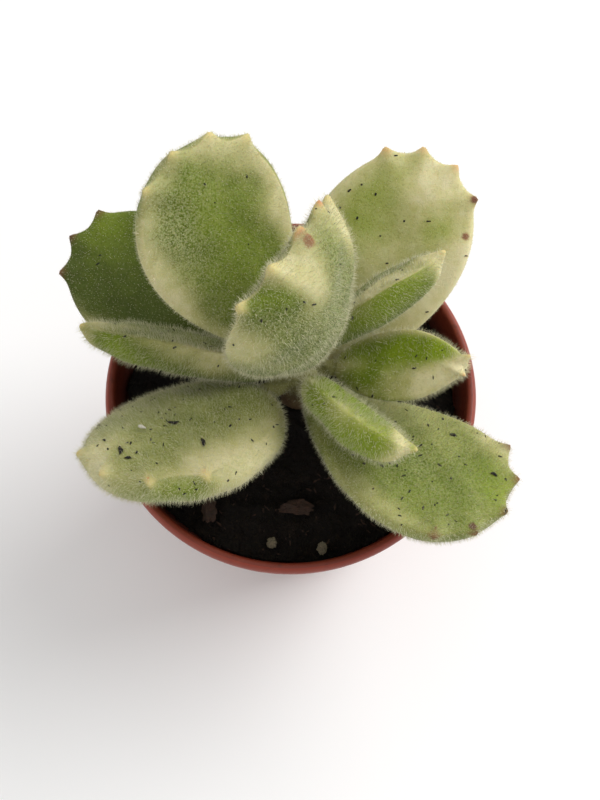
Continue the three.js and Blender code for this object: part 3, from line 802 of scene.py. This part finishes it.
def round_corners(profile, radius=0.35, steps=4):
    """The profile with each corner off the axis replaced by a short curve."""
    made = [profile[0]]
    for before, here, after in zip(profile, profile[1:], profile[2:]):
        b, h, a = (np.array(p, float) for p in (before, here, after))
        reach = min(radius, 0.45 * np.linalg.norm(b - h), 0.45 * np.linalg.norm(a - h))
        start = h + (b - h) / np.linalg.norm(b - h) * reach
        end = h + (a - h) / np.linalg.norm(a - h) * reach
        for t in np.linspace(0, 1, steps):
            made.append(tuple((1 - t) ** 2 * start + 2 * t * (1 - t) * h + t * t * end))
    return made + [profile[-1]]


DRAIN_HOLES, DRAIN_RING = 6, 13  # the holes' middles stand on a ring of this radius in mm


def make_pot(pot, material):
    """The thin nursery pot with its foot ring, collar, rolled lip and drain holes."""
    rim, high, foot = (v / MM for v in (pot.rim_radius, pot.height, pot.foot_radius))
    wall, lip = pot.wall / MM, pot.lip / MM
    below = rim - 2.9
    outside = [
        (0, 0), (foot - 3.4, 0), (foot - 3.1, 0.5), (foot - 2.1, 0.5), (foot - 1.8, 0),
        (foot - 0.6, 0), (foot, 0.7), (below, 42.9), (rim - 1.5, 43.7), (rim - 0.75, 49.3),
        (rim - 0.05, 50.0), (rim, 51.2), (rim - 0.45, 51.9), (rim - 0.85, high),
        (rim - lip + 0.3, 51.85), (rim - lip, 51.1), (rim - 1.5 - wall, 44.4),
        (below - wall, 43.4), (foot - wall, 2.0), (foot - wall - 0.9, 1.2), (0, 1.2)]
    points, faces = spin(round_corners(outside), 180)
    piece = mesh_of("nursery_pot", points, faces, [material])
    for i in range(DRAIN_HOLES):
        turn = (i + 0.5) * 2 * math.pi / DRAIN_HOLES
        ring, ring_faces = spin(
            [(0, -3), (pot.drain_radius / MM, -3), (pot.drain_radius / MM, 5), (0, 5)], 32)
        ring = ring + DRAIN_RING * np.array([math.cos(turn), math.sin(turn), 0])
        cutter = mesh_of("drain_cutter", ring, ring_faces, [])
        cut = piece.modifiers.new("drain", "BOOLEAN")
        cut.operation, cut.solver, cut.object = "DIFFERENCE", "EXACT", cutter
        piece.data = evaluated_mesh(piece)
        bpy.data.objects.remove(cutter)
    piece.data.name = "nursery_pot"
    at = np.array([v.co for v in piece.data.vertices]) / MM
    wall_line = foot + (below - foot) * at[:, 2] / 42.9 + np.where(at[:, 2] > 43.3, 1.1, 0)
    inside = (np.hypot(at[:, 0], at[:, 1]) < wall_line - wall / 2) & (at[:, 2] > 0.8)
    store(piece.data, "inside", inside)
    return piece


def soil_height(x, y, top):
    """How high the soil lies: a low crown with lumps of three sizes."""
    out = np.hypot(x, y) / 28
    p = np.stack([x, y, np.zeros_like(x)], 1)
    return (top - 0.9 * out ** 4 + 0.7 * waves(p, 12, 3) + 0.35 * waves(p, 4.5, 4)
            + 0.15 * waves(p, 1.8, 8, 14) - 0.2)


def make_soil(soil, material):
    """The body of soil, lumpy on top, with dust marked where crumbs may lie."""
    top = soil.top / MM
    edge, steps, rings = 26.95, 220, 64
    profile = [(0, 1.5), (16.8, 1.5), (18, 2.6), (21.75, 22), (25.7, 43)]
    profile += [(edge * (1 - r / rings), top) for r in range(rings)] + [(0, top)]
    points, faces = spin(profile, steps)
    raised = points[:, 2] > top - 0.01
    points[raised, 2] = soil_height(points[raised, 0], points[raised, 1], top)
    piece = mesh_of("potting_soil", points, faces, [material])
    lying = np.array([v.co.z for v in piece.data.vertices]) > 0.0435
    store(piece.data, "dust", lying)
    return piece


def make_chunk(name, node, material, flat, jag):
    """A rough bit within the box of its solid: lumpy, with flat broken faces at its ends."""
    low, high = (np.array(c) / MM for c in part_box(node))
    middle, half = (low + high) / 2, (high - low) / 2
    work = bmesh.new()
    bmesh.ops.create_icosphere(work, subdivisions=4, radius=1)
    seed = Vector((sum(map(ord, name)), 0, 0))
    chance = np.random.default_rng(int(seed.x))
    cuts = [Vector(way).normalized() for way in chance.normal(size=(9, 3))]
    depths = chance.uniform(*flat, 9)
    for v in work.verts:
        for cut, depth in zip(cuts, depths):
            v.co -= cut * max(0, v.co.dot(cut) - depth)
        v.co *= 1 + jag * noise.fractal(v.co * 2.2 + seed, 0.7, 2.1, 5)
        v.co.z += 0.25 * jag * noise.noise(Vector((v.co.x * 1.5, v.co.y * 9, 0)) + seed)
    mesh = bpy.data.meshes.new(name)
    work.to_mesh(mesh)
    work.free()
    points = middle + np.array([v.co for v in mesh.vertices]) * half * 0.85 - (0, 0, 0.5)
    mesh.vertices.foreach_set("co", (points * MM).ravel())
    mesh.polygons.foreach_set("use_smooth", [False] * len(mesh.polygons))
    return link_mesh(name, mesh, [material])


def lay_on_leaves():
    """Points and faces of the larger crumbs, each lying on its leaf's skin."""
    points, faces, count = [], [], 0
    draw = random.Random(CRUMB_SEED)
    dusty = [name for name, leaf in LEAVES.items() for _ in range(round(10 * leaf["dust"]))]
    for k in range(CRUMBS):
        name = draw.choice(dusty)
        face = BACK if LEAVES[name]["width"] < 12 else TOP  # the narrow and young leaves' backs
        where, share = draw.uniform(-math.pi, math.pi), draw.uniform(0.2, 0.9)
        size, turn = draw.uniform(0.5, LONGEST_CRUMB), draw.uniform(0, math.pi)
        middle = blade(LEAVES[name], np.array([where]), np.array([share]), np.array([face]), 0)[:3]
        spot = Vector(bend(LEAVES[name], *middle)[0])
        host = bpy.data.objects[name.replace("leaf_", "fleshy_leaf_")].data
        near = min(host.vertices, key=lambda v: (v.co / MM - spot).length_squared)
        across = near.normal.cross((math.cos(turn), math.sin(turn), 0.2)).normalized()
        along = across.cross(near.normal)
        work = bmesh.new()
        bmesh.ops.create_icosphere(work, subdivisions=2, radius=1)
        for v in work.verts:
            c = v.co * (1 + 0.7 * noise.noise(v.co * 1.7 + Vector((k * 3.7, 0, 0))))
            points.append(near.co / MM + size / 2 * (
                c.x * along + (0.42 * c.y + 0.3 * c.x * c.x) * across
                + (0.25 * c.z + 0.25) * near.normal))
        faces += [tuple(v.index + count for v in f.verts) for f in work.faces]
        count += len(work.verts)
        work.free()
    return points, faces


def tube(line, sides=16):
    """Points and faces of a closed tube along (x, y, z, radius)."""
    centre = np.array([p[:3] for p in line], float)
    points, faces = [centre[0]], []
    for i, p in enumerate(line):
        along = centre[min(i + 1, len(line) - 1)] - centre[max(i - 1, 0)]
        along /= np.linalg.norm(along)
        across = np.cross(along, (0.2, 1, 0.1))
        across /= np.linalg.norm(across)
        other = np.cross(along, across)
        for s in range(sides):
            t = 2 * math.pi * s / sides
            points.append(centre[i] + p[3] * (math.cos(t) * across + math.sin(t) * other))
    points.append(centre[-1])
    last = len(points) - 1
    for s in range(sides):
        t = (s + 1) % sides
        faces.append((0, 1 + t, 1 + s))
        for r in range(len(line) - 1):
            a, b = 1 + r * sides, 1 + (r + 1) * sides
            faces.append((a + s, a + t, b + t, b + s))
        faces.append((last, last - sides + s, last - sides + t))
    return np.array(points), faces


def make_stem(material):
    """The stem and a stub into each leaf, grown together into one skin."""
    parts = [tube(STEM_LINE)]
    for leaf in LEAVES.values():
        into = bend(leaf, np.array([0.0]), np.array([2.2]), np.array([-0.1 * leaf["thick"]]))[0]
        end = bend(leaf, np.array([0.0]), np.array([-0.2]), np.array([-0.05 * leaf["thick"]]))[0]
        low = end[2] - 2.2
        centre = stem_at(low)
        start = np.array([centre[0], centre[1], low])
        middle = (start + end) / 2 - (0, 0, 0.3)
        parts.append(tube([(*start, min(1.7, centre[3])), (*middle, 1.45), (*end, 1.35),
                           (*into, 1.0)], 12))
    points, faces, count = [], [], 0
    for p, f in parts:
        points.append(p)
        faces += [tuple(i + count for i in face) for face in f]
        count += len(p)
    piece = mesh_of("stem_draft", np.concatenate(points), faces, [])
    skin = piece.modifiers.new("skin", "REMESH")
    skin.mode, skin.voxel_size = "VOXEL", 0.28 * MM
    soft = piece.modifiers.new("soft", "SMOOTH")
    soft.factor, soft.iterations = 0.5, 5
    made = evaluated_mesh(piece)
    bpy.data.objects.remove(piece)
    at = np.array([v.co for v in made.vertices]) / MM
    out = np.array([v.normal for v in made.vertices])
    ridges = waves(at * (1, 1, 0.35), 1.5, 12) * 0.1 + waves(at, 3, 13) * 0.12
    rings = 0.16 * np.exp(-((at[:, 2, None] - np.array([49.5, 53.5, 58])) / 0.35) ** 2).sum(1)
    made.vertices.foreach_set("co", ((at + out * (ridges + rings)[:, None]) * MM).ravel())
    made.polygons.foreach_set("use_smooth", [True] * len(made.polygons))
    made.name = "stem"
    store(made, "fur", ease((at[:, 2] - 48) / 6) * 0.6)
    return link_mesh("leafy_stem", made, [material])


# ---------------------------------------------------------------- operators
class SUCCULENT_OT_pot(Operator):
    """Make the thin plastic nursery pot"""
    bl_idname = "succulent.pot"
    bl_label = "Pot"

    def execute(self, context):
        pot = context.scene.succulent_pot
        material = plastic_material(pot, context.scene.succulent_soil.top)
        settle(make_pot(pot, material), "pot_plastic", "pot")
        return {"FINISHED"}


class SUCCULENT_OT_soil(Operator):
    """Fill the pot with soil and scatter crumbs and fibres over it"""
    bl_idname = "succulent.soil"
    bl_label = "Soil"

    def execute(self, context):
        soil = context.scene.succulent_soil
        dark = soil_material(soil)
        ground = make_soil(soil, dark)
        tree = scatter_tree()
        bark = litter_material("bark_fibre", soil.bark, paint(48, 34, 25), 1)
        for name, inputs, material in (
            ("soil_crumbs", {"Density": soil.crumbs / MM ** 2, "Size": soil.crumb_size,
                             "Smallest": (0.2, 0.2, 0.15), "Largest": (1, 0.8, 0.7),
                             "Seed": 5}, dark),
            ("soil_fibres", {"Density": 0.09 / MM ** 2, "Size": 2.6 * MM,
                             "Smallest": (0.4, 0.06, 0.05), "Largest": (1, 0.2, 0.14),
                             "Seed": 9}, bark),
        ):
            inputs.update({"Sink": 0.0001, "Material": material})
            settle(grow_on(ground, name, tree, inputs, [material]), "potting_soil")
        settle(ground, "potting_soil", "soil")
        return {"FINISHED"}


class SUCCULENT_OT_litter(Operator):
    """Lay the bark chips and mineral grains on the soil"""
    bl_idname = "succulent.litter"
    bl_label = "Chips and grains"

    def execute(self, context):
        soil = context.scene.succulent_soil
        bark = litter_material("bark_chip", soil.bark, paint(48, 34, 25), 0.6)
        chalk = litter_material("mineral_grain", soil.grain, paint(140, 126, 104), 1)
        for node in sorted(frame["nodes"]):
            if node.startswith("bark_chip"):
                chunk = make_chunk("rough_" + node, node, bark, (0.6, 0.9), 0.35)
                settle(chunk, "bark", node)
            if node.startswith("perlite"):
                chunk = make_chunk("rough_" + node, node, chalk, (0.75, 0.95), 0.3)
                settle(chunk, "perlite", node)
        return {"FINISHED"}


class SUCCULENT_OT_stem(Operator):
    """Make the stem with its stubs, and its short hairs"""
    bl_idname = "succulent.stem"
    bl_label = "Stem"

    def execute(self, context):
        stem = make_stem(stem_material(context.scene.succulent_stem))
        grow_fur(context, stem, "stem_hairs", 77, 0.6, (0, 0, 0.3), "stem_skin")
        settle(stem, "stem_skin", "stem")
        return {"FINISHED"}


def grow_fur(context, host, name, seed, share, comb, slot):
    fur = context.scene.succulent_fur
    tree = bpy.data.node_groups.get("leaf_fur") or fur_tree()
    material = bpy.data.materials.get("white_leaf_hair") or fur_material(fur)
    piece = grow_on(host, name, tree, {
        "Length": fur.length * share, "Thickness": fur.thickness,
        "Density": fur.density / MM ** 2, "Comb": comb, "Stray": fur.stray, "Seed": seed,
        "Material": material}, [material])
    return settle(piece, slot)


class SUCCULENT_OT_leaves(Operator):
    """Make the ten fleshy leaves"""
    bl_idname = "succulent.leaves"
    bl_label = "Leaves"

    def execute(self, context):
        settings = context.scene.succulent_leaf
        material = leaf_material(settings)
        for name, leaf in LEAVES.items():
            settle(make_leaf(name, leaf, settings, material), "leaf_flesh", name)
        return {"FINISHED"}


class SUCCULENT_OT_fur(Operator):
    """Grow the white hairs on every leaf"""
    bl_idname = "succulent.fur"
    bl_label = "Leaf hairs"

    def execute(self, context):
        lean = context.scene.succulent_fur.comb
        for i, (name, leaf) in enumerate(LEAVES.items()):
            host = bpy.data.objects[name.replace("leaf_", "fleshy_leaf_")]
            ends = bend(leaf, np.zeros(2), np.array([0.2, 1.0]) * leaf["length"], np.zeros(2))
            growth = (ends[1] - ends[0]) / np.linalg.norm(ends[1] - ends[0]) * lean
            grow_fur(context, host, name.replace("leaf_", "hairs_"), 100 + 7 * i, leaf["hair"],
                     tuple(growth), "leaf_flesh")
        return {"FINISHED"}


class SUCCULENT_OT_dust(Operator):
    """Scatter specks of soil over the leaves"""
    bl_idname = "succulent.dust"
    bl_label = "Soil specks"

    def execute(self, context):
        dust = context.scene.succulent_dust
        tree = bpy.data.node_groups.get("scattered_crumbs") or scatter_tree()
        material = litter_material("leaf_dirt", dust.dirt, paint(18, 14, 10), 2)
        for i, (name, leaf) in enumerate(LEAVES.items()):
            host = bpy.data.objects[name.replace("leaf_", "fleshy_leaf_")]
            up = np.array([v.normal.z for v in host.data.vertices])
            store(host.data, "dust", ease((up - 0.1) / 0.5))
            piece = grow_on(host, name.replace("leaf_", "specks_"), tree, {
                "Density": dust.density * leaf["dust"] / MM ** 2, "Size": dust.size,
                "Smallest": (0.25, 0.15, 0.15), "Largest": (1, 0.4, 0.3), "Sink": 0.00012,
                "Seed": 40 + i, "Material": material}, [material])
            settle(piece, "potting_soil")
        settle(mesh_of("leaf_crumbs", *lay_on_leaves(), [material], False), "potting_soil")
        fibre = litter_material("pale_fibre", paint(232, 228, 214), paint(196, 190, 170), 2)
        leaf = LEAVES["leaf_front_left"]
        line = []
        for t in np.linspace(0, 1, 9):
            x, y = -1.3 * t, 0.75 * leaf["length"] - 0.6 * t + 0.2 * math.sin(3 * t)
            lift = 0.28 * leaf["thick"] * 0.9 + 0.55 + 0.2 * math.sin(3 * t)
            at = bend(leaf, np.array([x]), np.array([y]), np.array([lift]))[0]
            line.append((*at, 0.06 + 0.24 * math.sin(math.pi * t)))
        settle(mesh_of("pale_fibre", *tube(line, 8), [fibre]), "leaf_flesh")
        return {"FINISHED"}


class SUCCULENT_OT_stage(Operator):
    """Set the pale floor, the soft lights and the camera"""
    bl_idname = "succulent.stage"
    bl_label = "Studio"

    def execute(self, context):
        scene, stage = context.scene, context.scene.succulent_stage
        material, m = new_material("pale_floor")
        shader = m.add("ShaderNodeBsdfPrincipled", {}, {
            "Base Color": (*stage.floor, 1), "Roughness": 0.9})
        m.add("ShaderNodeOutputMaterial", {}, {"Surface": shader})
        floor = mesh_of("floor", [(-2500, -2500, -0.2), (2500, -2500, -0.2),
                                  (2500, 2500, -0.2), (-2500, 2500, -0.2)],
                        [(0, 1, 2, 3)], [material])
        world = bpy.data.worlds.new("studio")
        scene.world = world
        world.use_nodes = True
        back = world.node_tree.nodes["Background"]
        back.inputs["Color"].default_value = (1, 1, 1, 1)
        back.inputs["Strength"].default_value = stage.sky
        for name, power, size, place in (
            ("key", stage.key, 0.5, (0.42, 0.24, 0.52)),
            ("fill", stage.fill, 0.6, (-0.45, -0.35, 0.5)),
        ):
            lamp = bpy.data.lights.new(name, "AREA")
            lamp.energy, lamp.size = power, size
            light = bpy.data.objects.new(name, lamp)
            light.location = place
            aim = Vector((0, 0, 0.06)) - Vector(place)
            light.rotation_euler = aim.to_track_quat("-Z", "Y").to_euler()
            scene.collection.objects.link(light)
        add_camera(scene)
        scene.view_settings.view_transform = "Standard"
        return {"FINISHED"}


def add_camera(scene):
    """A camera high in front, looking down at a place just beside the middle of the lip."""
    lens = bpy.data.cameras.new("camera")
    lens.sensor_width, lens.lens, lens.clip_start = 36, 56, 0.01
    camera = bpy.data.objects.new("camera", lens)
    high, away = math.radians(71), 0.2
    low_corner, high_corner = (Vector(corner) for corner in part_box("pot"))
    middle = (low_corner + high_corner) / 2
    aim = Vector((middle.x + 1.5 * MM, middle.y - 2 * MM, high_corner.z))
    camera.location = aim + away * Vector((0, -math.cos(high), math.sin(high)))
    camera.rotation_euler = (math.pi / 2 - high, 0, 0)
    scene.collection.objects.link(camera)
    scene.camera = camera


class SUCCULENT_PT_panel(Panel):
    bl_label = "Potted Succulent"
    bl_space_type = "VIEW_3D"
    bl_region_type = "UI"
    bl_category = "Succulent"

    def draw(self, context):
        scene = context.scene
        for group, steps in PANEL_ROWS:
            box = self.layout.box()
            settings = getattr(scene, group)
            for name in settings.__annotations__:
                box.prop(settings, name)
            for step in steps:
                box.operator(step.bl_idname)


PANEL_ROWS = (
    ("succulent_pot", (SUCCULENT_OT_pot,)),
    ("succulent_soil", (SUCCULENT_OT_soil, SUCCULENT_OT_litter)),
    ("succulent_stem", (SUCCULENT_OT_stem,)),
    ("succulent_leaf", (SUCCULENT_OT_leaves,)),
    ("succulent_fur", (SUCCULENT_OT_fur,)),
    ("succulent_dust", (SUCCULENT_OT_dust,)),
    ("succulent_stage", (SUCCULENT_OT_stage,)),
)
GROUPS = {
    "succulent_pot": PotSettings, "succulent_soil": SoilSettings,
    "succulent_stem": StemSettings, "succulent_leaf": LeafSettings,
    "succulent_fur": FurSettings, "succulent_dust": DustSettings,
    "succulent_stage": StageSettings,
}
OPERATORS = [step for _, steps in PANEL_ROWS for step in steps]


def register():
    for kind in (*GROUPS.values(), *OPERATORS, SUCCULENT_PT_panel):
        bpy.utils.register_class(kind)
    for name, kind in GROUPS.items():
        setattr(bpy.types.Scene, name, PointerProperty(type=kind))


def unregister():
    for name in GROUPS:
        delattr(bpy.types.Scene, name)
    for kind in reversed((*GROUPS.values(), *OPERATORS, SUCCULENT_PT_panel)):
        bpy.utils.unregister_class(kind)


def main():
    register()
    for step in ("stage", "pot", "soil", "litter", "stem", "leaves", "fur", "dust"):
        getattr(bpy.ops.succulent, step)()


if __name__ == "__main__":
    main()
